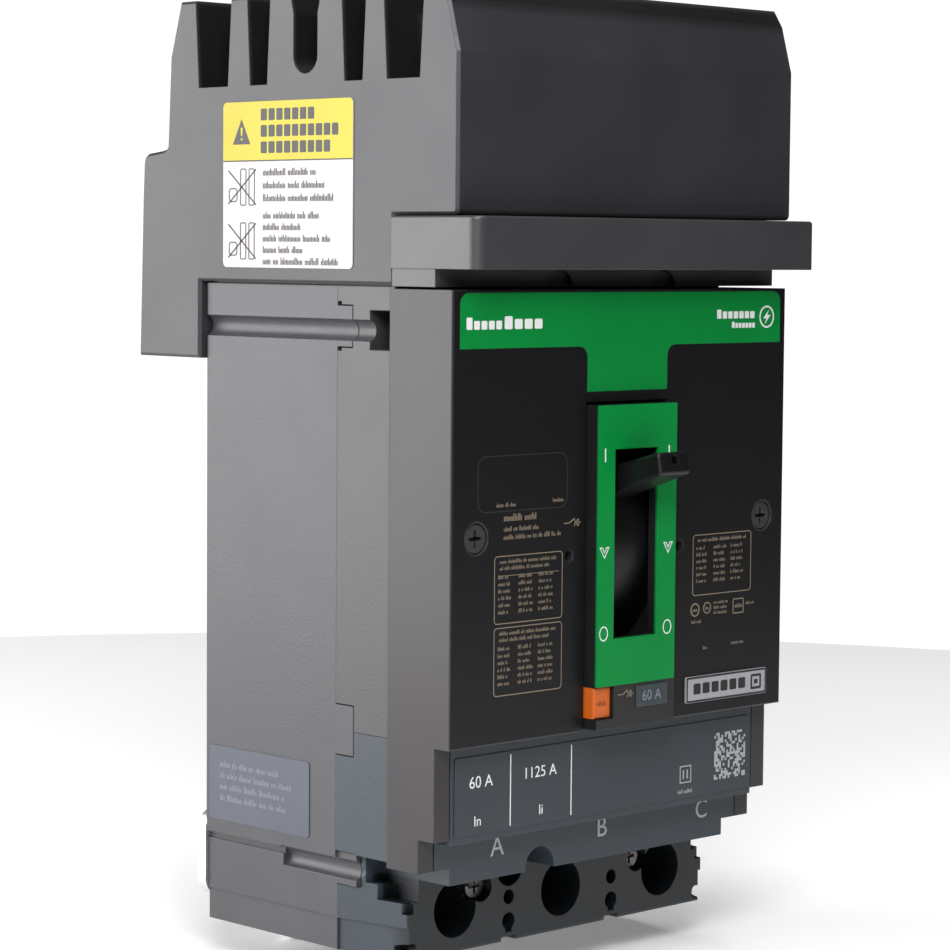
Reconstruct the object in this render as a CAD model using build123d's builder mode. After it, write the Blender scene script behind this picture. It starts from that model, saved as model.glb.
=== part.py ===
from build123d import *
from math import cos, radians, sin
import os

os.makedirs("parts", exist_ok=True)

# A three-pole molded case circuit breaker with a plug-on line end.
# Frame: origin at the centre of the base's rear face, front towards -Y, line end up (+Z), mm.

# ---- driving dimensions ----
front_width = 104.0  # accessory cover and jaw housing
body_width = 101.0  # base, cover and trip unit
hidden_width = 98.0  # line end inside the jaw housing
half_height = 81.5  # base, from its centre to either end
front_y = -80.0  # accessory cover's face
cover_front_y = -61.4  # cover meets accessory cover
base_front_y = -43.6  # base meets cover
panel_y = -75.6  # trip unit's label panel
ledge_y = -70.9  # trip unit's lettered ledge
terminal_y = -61.8  # terminal front
front_top_z = 60.0  # accessory cover's top
panel_top_z = -34.0
panel_low_z = -53.6
ledge_low_z = -60.8
nose_low_z = -64.5
pole_pitch = 32.4
wall = 2.5
side_wall = 3.7
rear_wall = 3.0
partition = 2.4
film = 0.2  # labels
seat = 0.2  # shallow steps in the base's back, under the bracket and the legs

poles = (-pole_pitch, 0.0, pole_pitch)
sides = (-1, 1)
partitions = (-pole_pitch / 2, pole_pitch / 2)
bay_outer = body_width / 2 - side_wall
half_front = front_width / 2
half_body = body_width / 2
half_hidden = hidden_width / 2

# toggle
handle_y, handle_z = -52.0, 6.0
handle_tilt = 22.9  # degrees above level when on
handle_reach = 45.6
handle_half = 4.75
skirt_radius = 28.7
skirt_half = 10.4
skirt_high = 70.0
skirt_low = 86.0
frame_half = 12.2  # escutcheon
frame_top_z, frame_low_z = 35.6, -33.4
plate_low_z = -24.3
window_x = (-7.2, 6.2)
window_top_z, window_low_z = 26.2, -14.2
escutcheon_y = -83.6

# contact shaft, parallel to the toggle's axis
shaft_y, shaft_z = -23.0, 14.0
shaft_radius = 7.95
crank = 9.0
crank_angle = -7.6  # from +Z towards -Y when on
arm_reach = 19.0
arm_half = 2.5
link_pin_radius = 1.0
armature_shaft_y, armature_shaft_z, armature_shaft_radius = -36.9, -56.0, 1.1

# accessory cover fasteners, mounting hole, side channels
turn_screw_x, turn_screw_z = 44.8, 9.1
mount_hole = (-16.0, -65.7)
mount_hole_radius = 2.4
channel_radius = 2.3
channel_high_z, channel_low_z = 51.1, -63.6

# jaw housing
housing_top_z = 122.0
housing_low_z = 60.8
housing_front_y = -81.2
leg_low_z = 43.8
leg_rear_y = 21.9
slot_pitch = 15.2
slot_middle_y = -34.6
slot_floor_z = 103.0
bus_half = 3.1  # half of the busbar gap between a jaw's blades

# terminals
lug_wire_radius = 5.5
lug_wire_y = -22.5
terminal_hole_radius = 6.2
terminal_hole_z = -72.2


# ---- shared helpers, used inside a part's block ----
def block(x, y, z, mode=Mode.ADD):
    """A box between two limits on each axis."""
    with Locations(((x[0] + x[1]) / 2, (y[0] + y[1]) / 2, (z[0] + z[1]) / 2)):
        Box(abs(x[1] - x[0]), abs(y[1] - y[0]), abs(z[1] - z[0]), mode=mode)


def rod_x(x, y, z, radius, mode=Mode.ADD):
    """A round bar along X, between the two x limits."""
    with Locations(Location(((x[0] + x[1]) / 2, y, z), (0, 90, 0))):
        Cylinder(radius, abs(x[1] - x[0]), mode=mode)


def rod_y(x, y, z, radius, mode=Mode.ADD):
    """A round bar along Y, between the two y limits."""
    with Locations(Location((x, (y[0] + y[1]) / 2, z), (90, 0, 0))):
        Cylinder(radius, abs(y[1] - y[0]), mode=mode)


def rod_z(x, y, z, radius, mode=Mode.ADD):
    """A round bar along Z, between the two z limits."""
    with Locations((x, y, (z[0] + z[1]) / 2)):
        Cylinder(radius, abs(z[1] - z[0]), mode=mode)


def around(centre, half):
    return (centre - half, centre + half)


def outward(side, inner, outer):
    """X limits on one side of the middle plane."""
    return (side * inner, side * outer)


def plate_on_front(x, z, y, corner=0.0):
    """A rounded flat piece that faces the front, between two y limits."""
    with BuildSketch(Plane.XZ.offset(-y[1])) as outline:
        with Locations(((x[0] + x[1]) / 2, (z[0] + z[1]) / 2)):
            if corner:
                RectangleRounded(x[1] - x[0], z[1] - z[0], corner)
            else:
                Rectangle(x[1] - x[0], z[1] - z[0])
    extrude(outline.sketch, amount=y[1] - y[0])


def sticker(x, y, z, corner):
    """A rounded film on the left side, between two x limits."""
    with BuildSketch(Plane.YZ.offset(x[0])) as outline:
        with Locations(((y[0] + y[1]) / 2, (z[0] + z[1]) / 2)):
            RectangleRounded(y[1] - y[0], z[1] - z[0], corner)
    extrude(outline.sketch, amount=x[1] - x[0])


def pole_bays(y, z):
    """The three pole spaces, cut between the partitions."""
    inner = partitions[1] + partition / 2
    block(around(0, partitions[1] - partition / 2), y, z, Mode.SUBTRACT)
    for side in sides:
        block(outward(side, inner, bay_outer), y, z, Mode.SUBTRACT)


def side_channels(y, z, x):
    """The half-round channels in both side faces."""
    for side in sides:
        rod_y(side * x, y, z, channel_radius, Mode.SUBTRACT)


# ---- base ----
tongue_high = (47.6, 56.2)
tongue_mid = (-39.0, -28.4)
tongue_low = (-67.0, -60.0)
tongue_reach_high, tongue_reach_mid, tongue_reach_low = -48.2, -49.1, -49.6
groove_z = -61.6
ridge_z = -74.5
cover_screw_x = 44.0
cover_screw_high_z, cover_screw_low_z = 72.0, -24.5
housing_screw_z = 72.0
trip_screw_x, trip_screw_z = 24.5, -68.7
bracket_screw_x, bracket_screw_z = 42.0, -70.5
pad_low_z, pad_high_z = -57.2, 43.6  # flat of the back between the steps

with BuildPart() as base:
    block((-half_body, half_body), (base_front_y, 0), (-half_height, housing_low_z - 0.4))
    block((-half_hidden, half_hidden), (base_front_y, 0), (housing_low_z - 0.4, half_height))
    fillet(base.edges().filter_by(Axis.Z).group_by(Axis.Y)[-1], 0.8)
    for z in ((-half_height - 1, pad_low_z), (pad_high_z, half_height + 1)):
        block((-half_body - 1, half_body + 1), (-seat, 1), z, Mode.SUBTRACT)
    for side in sides:
        block(outward(side, half_body - 0.7, half_body + 1), (base_front_y - 1, 1),
              (-half_height - 1, groove_z), Mode.SUBTRACT)
        block(outward(side, half_body - 1.3, half_body + 1), (base_front_y - 1, 1),
              (groove_z - 1.6, groove_z), Mode.SUBTRACT)
        block(outward(side, half_body - 1.2, half_body + 1), (base_front_y - 1, 1),
              (-half_height - 1, ridge_z), Mode.SUBTRACT)
        for reach, z in ((tongue_reach_high, tongue_high), (tongue_reach_mid, tongue_mid)):
            block(outward(side, half_body - 2.4, half_body), (reach, base_front_y), z)
        block(outward(side, half_body - 2.4, half_body - 0.7), (tongue_reach_low, base_front_y),
              tongue_low)
    pole_bays((base_front_y - 1, -rear_wall), (-half_height + wall, half_height - wall))
    side_channels((tongue_reach_high - 1, 1), channel_high_z, half_body + 0.5)
    side_channels((tongue_reach_low - 1, -26), channel_low_z, half_body + 0.1)
    rod_y(mount_hole[0], (base_front_y, -rear_wall), mount_hole[1], 5.0)
    for side in sides:
        block(outward(side, partitions[1], trip_screw_x + 2.2), (base_front_y, -37.5),
              around(trip_screw_z, 3.2))
    rod_y(mount_hole[0], (base_front_y - 1, 1), mount_hole[1], mount_hole_radius, Mode.SUBTRACT)
    for side in sides:
        rod_y(side * trip_screw_x, (base_front_y - 1, -37.4), trip_screw_z, 1.2, Mode.SUBTRACT)
        for z in (cover_screw_high_z, cover_screw_low_z):
            rod_y(side * cover_screw_x, (base_front_y, -32), z, 3.2)
            rod_y(side * cover_screw_x, (base_front_y - 1, -32.1), z, 1.4, Mode.SUBTRACT)
        rod_y(side * partitions[1], (-15, -rear_wall), housing_screw_z, 4.0)
        rod_y(side * partitions[1], (-12, 1), housing_screw_z, 1.5, Mode.SUBTRACT)
        rod_y(side * bracket_screw_x, (-9, -rear_wall), bracket_screw_z, 3.2)
        rod_y(side * bracket_screw_x, (-8, 1), bracket_screw_z, 1.5, Mode.SUBTRACT)
        block(around(side * partitions[1], partition), (base_front_y - 1, shaft_y),
              around(shaft_z, shaft_radius + 0.05), Mode.SUBTRACT)
        rod_x(around(side * partitions[1], partition), shaft_y, shaft_z, shaft_radius + 0.05,
              Mode.SUBTRACT)
        rod_x(around(side * partitions[1], partition), armature_shaft_y, armature_shaft_z,
              armature_shaft_radius + 0.05, Mode.SUBTRACT)
    for x in poles:
        block(around(x, 5.4), (-18.2, -14.4), (half_height - wall - 1, half_height + 1),
              Mode.SUBTRACT)
        block(around(x, 6.6), around(lug_wire_y, 6.6), (-half_height - 1, -half_height + wall + 1),
              Mode.SUBTRACT)
base.part.label = "base"
export_step(base.part, "parts/base.step")

# ---- cover, in front of the base ----
pocket_x = 36.0
pocket_rear_high, pocket_rear_low = -53.7, -54.1
rod_hole_x, rod_hole_z = -8.9, -27.8  # trip button's rod
tongue_gap = 0.25
notch_wide, notch_high = 1.3, 0.9  # at the high tongue's inner corners

with BuildPart() as cover:
    block((-half_body, half_body), (cover_front_y, base_front_y), (-33.8, housing_low_z - 0.4))
    block((-half_hidden, half_hidden), (cover_front_y, base_front_y),
          (housing_low_z - 0.4, half_height))
    pole_bays((cover_front_y + wall, base_front_y + 1), (-33.8 + wall, half_height - wall))
    for side in sides:
        block(outward(side, half_body - 2.6, half_body + 1),
              (tongue_reach_high - tongue_gap, base_front_y + 1),
              (tongue_high[0] - tongue_gap, tongue_high[1] + tongue_gap), Mode.SUBTRACT)
        for z in tongue_high:
            block(outward(side, half_body - 1.2, half_body + 1),
                  (base_front_y - notch_wide, base_front_y + 1), around(z, notch_high), Mode.SUBTRACT)
        block(outward(side, half_body - 2.6, half_body + 1),
              (tongue_reach_mid - tongue_gap, base_front_y + 1),
              (tongue_mid[0], tongue_mid[1] + tongue_gap), Mode.SUBTRACT)
        block(outward(side, pocket_x, half_body + 1), (cover_front_y - 1, pocket_rear_high),
              (47.1, 55.4), Mode.SUBTRACT)
        block(outward(side, pocket_x - 2, half_hidden), (pocket_rear_high, pocket_rear_high + 2),
              (45.0, 57.5))
        block(outward(side, pocket_x - 2, pocket_x), (cover_front_y, pocket_rear_high + 2),
              (45.0, 57.5))
        for z in ((45.0, 47.1), (55.4, 57.5)):
            block(outward(side, pocket_x - 2, half_hidden), (cover_front_y, pocket_rear_high + 2), z)
        for z in (cover_screw_high_z, cover_screw_low_z):
            rod_y(side * cover_screw_x, (cover_front_y, base_front_y), z, 3.2)
            rod_y(side * cover_screw_x, (cover_front_y - 1, base_front_y + 1), z, 1.6, Mode.SUBTRACT)
            rod_y(side * cover_screw_x, (cover_front_y - 1, cover_front_y + 2.0), z, 2.8,
                  Mode.SUBTRACT)
        rod_y(side * turn_screw_x, (cover_front_y - 1, cover_front_y + 5), turn_screw_z, 2.1,
              Mode.SUBTRACT)
    side_channels((pocket_rear_high - 1, base_front_y + 1), channel_high_z, half_body + 0.5)
    block(around(0, skirt_half + 0.4), (cover_front_y - 1, cover_front_y + wall + 0.5), (-24.0, 36.5),
          Mode.SUBTRACT)
    rod_y(rod_hole_x, (cover_front_y - 1, cover_front_y + wall + 1), rod_hole_z, 1.3, Mode.SUBTRACT)
    block((-11.6, -6.2), (-53.4, base_front_y + 1), (-35, -31), Mode.SUBTRACT)
    for x in poles:
        block(around(x, 9.0), (-57.0, -47.5), around(half_height, wall + 1), Mode.SUBTRACT)
cover.part.label = "cover"
export_step(cover.part, "parts/cover.step")

# ---- accessory cover, with stepped side strips at the load end ----
shell = 2.4
strip_inner = 47.7
window_gap = 0.6
screw_sleeve = 4.6
screw_head = 2.95
small_hole = (17.4, 3.9)

with BuildPart() as accessory_cover:
    block((-half_front, half_front), (front_y, cover_front_y), (panel_top_z, front_top_z))
    fillet(accessory_cover.edges().group_by(Axis.Y)[0], 0.3)
    block((-half_front + shell, half_front - shell), (front_y + shell, cover_front_y + 1),
          (panel_top_z + 2.0, front_top_z - shell), Mode.SUBTRACT)
    for side in sides:
        block(outward(side, strip_inner, half_front), (panel_y, cover_front_y),
              (panel_low_z, panel_top_z + 1))
        block(outward(side, strip_inner, half_front), (ledge_y, cover_front_y),
              (ledge_low_z, panel_low_z))
        rod_y(side * turn_screw_x, (front_y + 1, cover_front_y - 0.2), turn_screw_z, screw_sleeve)
        rod_y(side * turn_screw_x, (front_y - 1, front_y + 3.2), turn_screw_z, screw_head + 0.3,
              Mode.SUBTRACT)
        rod_y(side * turn_screw_x, (front_y, cover_front_y + 1), turn_screw_z, 1.9, Mode.SUBTRACT)
        rod_y(side * small_hole[0], (front_y - 1, front_y + shell + 1), small_hole[1], 1.25,
              Mode.SUBTRACT)
    block(around(0, frame_half + window_gap), (front_y - 1, cover_front_y),
          (panel_top_z - 1, frame_top_z + window_gap), Mode.SUBTRACT)
accessory_cover.part.label = "accessory_cover"
export_step(accessory_cover.part, "parts/accessory_cover.step")

# ---- printed films and plates on the front ----
band_low_z, band_top_z = 48.0, 59.4
band_half = 50.0
stem_half, stem_low_z = 12.5, 38.4
film_half = 51.6


def header_shape(gap):
    """The green header: a band across the top with a stem above the window."""
    with BuildSketch(Plane.XZ.offset(-front_y)) as outline:
        with Locations((0, (band_low_z + band_top_z) / 2)):
            Rectangle(2 * (band_half + gap), band_top_z - band_low_z + 2 * gap)
        with Locations((0, (stem_low_z + band_low_z) / 2)):
            Rectangle(2 * (stem_half + gap), band_low_z - stem_low_z + 2 * gap)
        fillet(outline.vertices().group_by(Axis.Y)[-1], 2.4)
        inner_corners = outline.vertices().filter_by(lambda corner: abs(corner.X) < stem_half + 1)
        fillet(inner_corners.group_by(Axis.Y)[-1], 2.4)
    return outline.sketch


with BuildPart() as header_label:
    extrude(header_shape(0), amount=film)
header_label.part.label = "header_label"
export_step(header_label.part, "parts/header_label.step")

with BuildPart() as front_label:
    plate_on_front((-film_half, film_half), (panel_top_z + 0.4, band_top_z + 0.4),
                   (front_y - film, front_y))
    extrude(header_shape(0.05), amount=1, both=True, mode=Mode.SUBTRACT)
    block(around(0, frame_half + window_gap), (front_y - 1, front_y + 1),
          (panel_top_z - 1, frame_top_z + window_gap), Mode.SUBTRACT)
    for side in sides:
        rod_y(side * turn_screw_x, (front_y - 1, front_y + 1), turn_screw_z, 3.7, Mode.SUBTRACT)
        rod_y(side * small_hole[0], (front_y - 1, front_y + 1), small_hole[1], 1.4, Mode.SUBTRACT)
front_label.part.label = "front_label"
export_step(front_label.part, "parts/front_label.step")

with BuildPart() as name_plate:
    plate_on_front((19.5, 46.5), (-31.1, -25.3), (front_y - 0.7, front_y - film), 0.4)
name_plate.part.label = "name_plate"
export_step(name_plate.part, "parts/name_plate.step")

# ---- escutcheon round the toggle ----
frame_wall = 1.4
button_x = (-frame_half, -7.0)
button_gap = 0.15
button_z = (-31.1, -24.5)
plug_x, plug_z = (0.0, 9.8), (-29.6, -24.9)

with BuildPart() as escutcheon:
    block((-frame_half, frame_half), (escutcheon_y, cover_front_y), (frame_low_z, frame_top_z))
    block((-frame_half - 2, frame_half + 2), (cover_front_y - 2, cover_front_y),
          (panel_top_z + 2.2, frame_top_z + 1.6))
    block((-frame_half + frame_wall, frame_half - frame_wall), (escutcheon_y + 2.6, cover_front_y + 1),
          (frame_low_z + frame_wall, frame_top_z - frame_wall), Mode.SUBTRACT)
    block(around(0, frame_half + 1), (escutcheon_y - 1, escutcheon_y + 0.6),
          (plate_low_z, frame_top_z + 1), Mode.SUBTRACT)
    block(window_x, (escutcheon_y - 1, escutcheon_y + 3), (window_low_z, window_top_z), Mode.SUBTRACT)
    block((button_x[0] - 1, button_x[1] + button_gap), (escutcheon_y - 1, -76.4),
          (button_z[0] - button_gap, button_z[1] + button_gap), Mode.SUBTRACT)
    block(plug_x, (escutcheon_y - 1, escutcheon_y + 0.9), plug_z, Mode.SUBTRACT)
    block((-frame_half + frame_wall, -5.0), (-72.0, -70.4), (frame_low_z + frame_wall, -23.6))
    rod_y(rod_hole_x, (-73, -69), rod_hole_z, 1.25, Mode.SUBTRACT)
escutcheon.part.label = "escutcheon"
export_step(escutcheon.part, "parts/escutcheon.step")

with BuildPart() as toggle_plate:
    plate_on_front((-frame_half, frame_half), (plate_low_z, frame_top_z),
                   (escutcheon_y, escutcheon_y + 0.6))
    block(window_x, (escutcheon_y - 1, escutcheon_y + 1), (window_low_z, window_top_z), Mode.SUBTRACT)
toggle_plate.part.label = "toggle_plate"
export_step(toggle_plate.part, "parts/toggle_plate.step")

with BuildPart() as rating_plug:
    plate_on_front(plug_x, plug_z, (escutcheon_y - 0.2, escutcheon_y + 0.9))
rating_plug.part.label = "rating_plug"
export_step(rating_plug.part, "parts/rating_plug.step")

# ---- push-to-trip button, its spring ----
button_face_y = escutcheon_y + 0.9
button_back_y = -78.8
button_rod_end_y = -50.9
spring_coil_radius = 1.5
spring_wire = 0.22

with BuildPart() as trip_button:
    block((button_x[0], button_x[1]), (button_face_y, button_back_y), button_z)
    fillet(trip_button.edges().group_by(Axis.Y)[0], 0.3)
    rod_y(rod_hole_x, (button_back_y, button_rod_end_y), rod_hole_z, 1.1)
trip_button.part.label = "trip_button"
export_step(trip_button.part, "parts/trip_button.step")

with BuildPart() as trip_button_spring:
    for turn in range(6):
        coil_y = button_back_y + 0.5 + turn * 1.15
        with Locations(Location((rod_hole_x, coil_y, rod_hole_z), (90, 0, 0))):
            Torus(spring_coil_radius, spring_wire)
trip_button_spring.part.label = "trip_button_spring"
export_step(trip_button_spring.part, "parts/trip_button_spring.step")

# ---- toggle handle, with its curved skirt ----
tilt = radians(handle_tilt)
handle_plane = Plane(origin=(0, handle_y, handle_z), x_dir=(0, -cos(tilt), sin(tilt)), z_dir=(1, 0, 0))
tip_plane = Plane(origin=(0, handle_y, handle_z), x_dir=(1, 0, 0), z_dir=(0, -cos(tilt), sin(tilt)))
handle_pin_y = handle_y - crank * sin(radians(crank_angle))
handle_pin_z = handle_z + crank * cos(radians(crank_angle))
ear_half = 8.0

with BuildPart() as toggle_handle:
    rod_x((-ear_half, ear_half), handle_y, handle_z, 5.0)
    with BuildSketch(Plane.YZ.offset(-ear_half)):
        with BuildLine():
            Polyline((handle_y - 4.6, handle_z + 2), (handle_pin_y - 2.4, handle_pin_z),
                     (handle_pin_y + 2.4, handle_pin_z), (handle_y + 4.6, handle_z + 2), close=True)
        make_face()
    extrude(amount=2 * ear_half)
    rod_x((-ear_half, ear_half), handle_pin_y, handle_pin_z, 2.4)
    with BuildSketch(handle_plane.offset(-handle_half)):
        with BuildLine():
            Polyline((0, 3.6), (26.0, 1.5), (handle_reach - 0.5, 2.5), (handle_reach + 0.5, -2.3),
                     (34.0, -4.0), (25.0, -4.6), (0, -4.6), close=True)
        make_face()
    extrude(amount=2 * handle_half)
    tip_edges = toggle_handle.edges().filter_by(
        lambda edge: (edge.center() - Vector(0, handle_y, handle_z)).length > 34.0)
    fillet(tip_edges, 0.9)
    with BuildSketch(tip_plane.offset(handle_reach - 2.6)):
        with Locations((0.1, 0.5)):
            Circle(1.05)
    extrude(amount=6, mode=Mode.SUBTRACT)
    with BuildSketch(handle_plane.offset(-skirt_half)):
        Circle(skirt_radius)
        Circle(skirt_radius - 1.5, mode=Mode.SUBTRACT)
        with BuildLine():
            reach = 2 * skirt_radius
            high_x, high_y = reach * cos(radians(skirt_high)), reach * sin(radians(skirt_high))
            low_x, low_y = reach * cos(radians(skirt_low)), reach * sin(radians(skirt_low))
            Polyline((0, 0), (high_x, -high_y), (-reach, -high_y), (-reach, low_y), (low_x, low_y),
                     close=True)
        make_face(mode=Mode.SUBTRACT)
    extrude(amount=2 * skirt_half)
    rod_x((-10, 10), handle_y, handle_z, 2.05, Mode.SUBTRACT)
    rod_x((-10, 10), handle_pin_y, handle_pin_z, link_pin_radius, Mode.SUBTRACT)
toggle_handle.part.label = "toggle_handle"
export_step(toggle_handle.part, "parts/toggle_handle.step")

# ---- toggle mechanism ----
plate_inner, plate_outer = 12.0, 13.4
link_inner, link_outer = 8.3, 9.8
crank_inner, crank_outer = 6.2, 7.8
shaft_pin_y = shaft_y - crank * sin(radians(crank_angle))
shaft_pin_z = shaft_z + crank * cos(radians(crank_angle))
spacers = ((-38.0, -3.0), (-44.0, 27.0))

with BuildPart() as handle_pin:
    rod_x((-plate_outer, plate_outer), handle_y, handle_z, 2.0)
handle_pin.part.label = "handle_pin"
export_step(handle_pin.part, "parts/handle_pin.step")

with BuildPart() as mechanism_frame:
    for side in sides:
        block(outward(side, plate_inner, plate_outer), (-57.0, -rear_wall), (-6.0, 29.5))
        block(outward(side, plate_outer - 4.4, plate_outer), (-5.0, -rear_wall), (-6.0, 1.0))
    for edge_z in (-6.0, 29.5):
        rod_x((-20, 20), -57.0, edge_z, 4.0, Mode.SUBTRACT)
    rod_x((-20, 20), handle_y, handle_z, 2.0, Mode.SUBTRACT)
    rod_x((-20, 20), shaft_y, shaft_z, shaft_radius + 0.05, Mode.SUBTRACT)
    for y, z in spacers:
        rod_x((-20, 20), y, z, 1.5, Mode.SUBTRACT)
mechanism_frame.part.label = "mechanism_frame"
export_step(mechanism_frame.part, "parts/mechanism_frame.step")

with BuildPart() as frame_spacers:
    for y, z in spacers:
        rod_x((-plate_outer - 0.4, plate_outer + 0.4), y, z, 1.5)
frame_spacers.part.label = "frame_spacers"
export_step(frame_spacers.part, "parts/frame_spacers.step")


def link_between(x, start, end, half, hole):
    """A flat bar with round ends between two pin centres, drilled for the pins."""
    with BuildSketch(Plane.YZ.offset(x[0])) as outline:
        with Locations(start, end):
            Circle(half)
        make_hull()
        with Locations(start, end):
            Circle(hole, mode=Mode.SUBTRACT)
    extrude(outline.sketch, amount=x[1] - x[0])


with BuildPart() as drive_links:
    for side in sides:
        link_between(sorted(outward(side, link_inner, link_outer)), (handle_pin_y, handle_pin_z),
                     (shaft_pin_y, shaft_pin_z), 2.2, link_pin_radius + 0.05)
drive_links.part.label = "drive_links"
export_step(drive_links.part, "parts/drive_links.step")

with BuildPart() as handle_crank_pin:
    rod_x((-link_outer - 0.5, link_outer + 0.5), handle_pin_y, handle_pin_z, link_pin_radius)
handle_crank_pin.part.label = "handle_crank_pin"
export_step(handle_crank_pin.part, "parts/handle_crank_pin.step")

# ---- contact shaft and what it carries ----
shaft_half = 45.5
waist_inner, waist_outer, waist_radius = 7.9, 10.4, 5.6

with BuildPart() as crossbar:
    rod_x((-shaft_half, shaft_half), shaft_y, shaft_z, shaft_radius)
    for x in poles:
        block(around(x, 4.1), around(shaft_y, arm_half + 0.1), around(shaft_z, shaft_radius + 1),
              Mode.SUBTRACT)
    for side in sides:
        with BuildSketch(Plane.YZ.offset(min(outward(side, waist_inner, waist_outer)))) as waist:
            with Locations((shaft_y, shaft_z)):
                Circle(shaft_radius + 1)
                Circle(waist_radius, mode=Mode.SUBTRACT)
        extrude(waist.sketch, amount=waist_outer - waist_inner, mode=Mode.SUBTRACT)
crossbar.part.label = "crossbar"
export_step(crossbar.part, "parts/crossbar.step")

with BuildPart() as crossbar_cranks:
    for side in sides:
        x = sorted(outward(side, crank_inner, crank_outer))
        link_between(x, (shaft_y, shaft_z), (shaft_pin_y, shaft_pin_z), 2.4, 0.8)
        rod_x(x, shaft_y, shaft_z, 10.2)
        rod_x(x, shaft_y, shaft_z, shaft_radius, Mode.SUBTRACT)
        rod_x(x, shaft_pin_y, shaft_pin_z, link_pin_radius, Mode.SUBTRACT)
crossbar_cranks.part.label = "crossbar_cranks"
export_step(crossbar_cranks.part, "parts/crossbar_cranks.step")

with BuildPart() as crossbar_crank_pins:
    for side in sides:
        rod_x(outward(side, crank_inner, link_outer + 0.5), shaft_pin_y, shaft_pin_z, link_pin_radius)
crossbar_crank_pins.part.label = "crossbar_crank_pins"
export_step(crossbar_crank_pins.part, "parts/crossbar_crank_pins.step")

tip = 1.2
tip_half = 2.6
tip_offset = arm_reach - 3.2
contact_gap = 0.3

with BuildPart() as contact_arms:
    for x in poles:
        block(around(x, 4.0), around(shaft_y, arm_half), around(shaft_z, arm_reach))
    fillet(contact_arms.edges().filter_by(Axis.X), 1.0)
contact_arms.part.label = "contact_arms"
export_step(contact_arms.part, "parts/contact_arms.step")

with BuildPart() as moving_tips:
    for x in poles:
        for way in sides:
            y = shaft_y + way * (arm_half + tip / 2)
            block(around(x, 3.0), around(y, tip / 2), around(shaft_z + way * tip_offset, tip_half))
moving_tips.part.label = "moving_tips"
export_step(moving_tips.part, "parts/moving_tips.step")

# ---- fixed contacts ----
bar_half = 5.0
bar_depth = 3.0
bar_offset = arm_half + 2 * tip + contact_gap  # shaft's axis to a bar's near face
line_bar_y = (shaft_y + bar_offset, shaft_y + bar_offset + bar_depth)
load_bar_y = (shaft_y - bar_offset - bar_depth, shaft_y - bar_offset)
line_bar_top_z = half_height + 3.0
load_bar_low_z = -34.0

with BuildPart() as line_contacts:
    for x in poles:
        block(around(x, bar_half), line_bar_y, (26.0, line_bar_top_z))
line_contacts.part.label = "line_contacts"
export_step(line_contacts.part, "parts/line_contacts.step")

with BuildPart() as load_contacts:
    for x in poles:
        block(around(x, bar_half), load_bar_y, (load_bar_low_z, 2.0))
load_contacts.part.label = "load_contacts"
export_step(load_contacts.part, "parts/load_contacts.step")

with BuildPart() as fixed_tips:
    for x in poles:
        for way in sides:
            y = shaft_y + way * (arm_half + tip * 1.5 + contact_gap)
            block(around(x, 3.0), around(y, tip / 2), around(shaft_z + way * tip_offset, tip_half))
fixed_tips.part.label = "fixed_tips"
export_step(fixed_tips.part, "parts/fixed_tips.step")

# ---- arc chutes: one above the shaft in front, one below it behind ----
chute_plates = 7
chute_pitch = 2.6
chute_half = 11.0
upper_chute_y, upper_chute_z = (-42.0, -26.0), 36.0
lower_chute_y, lower_chute_z = (-19.0, -5.0), -24.0


def arc_plates(y, low_z, mouth_y):
    """Stacks of notched steel plates, one stack to a pole."""
    for x in poles:
        for level in range(chute_plates):
            z = low_z + level * chute_pitch
            block(around(x, chute_half), y, (z, z + 1.0))
            block(around(x, 2.6), around(mouth_y, 5.0), (z, z + 1.0), Mode.SUBTRACT)


with BuildPart() as arc_plates_upper:
    arc_plates(upper_chute_y, upper_chute_z, upper_chute_y[1])
arc_plates_upper.part.label = "arc_plates_upper"
export_step(arc_plates_upper.part, "parts/arc_plates_upper.step")

with BuildPart() as arc_plates_lower:
    arc_plates(lower_chute_y, lower_chute_z, lower_chute_y[0])
arc_plates_lower.part.label = "arc_plates_lower"
export_step(arc_plates_lower.part, "parts/arc_plates_lower.step")

with BuildPart() as arc_cheeks:
    chute_height = (chute_plates - 1) * chute_pitch + 1.0
    for x in poles:
        for side in sides:
            cheek_x = (x + side * chute_half, x + side * (chute_half + 0.9))
            for y, z in ((upper_chute_y, upper_chute_z), (lower_chute_y, lower_chute_z)):
                block(cheek_x, y, (z - 0.6, z + chute_height + 0.6))
arc_cheeks.part.label = "arc_cheeks"
export_step(arc_cheeks.part, "parts/arc_cheeks.step")

# ---- trip unit housing: label panel, ledge and terminal front ----
strip_clear = 0.4
panel_half = strip_inner - strip_clear
nose_half = 43.0
notch_radius = 4.4
trip_bar_y, trip_bar_z = -50.0, -39.0
trip_bar_radius = 2.2
terminal_rear_y = -47.0

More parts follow.
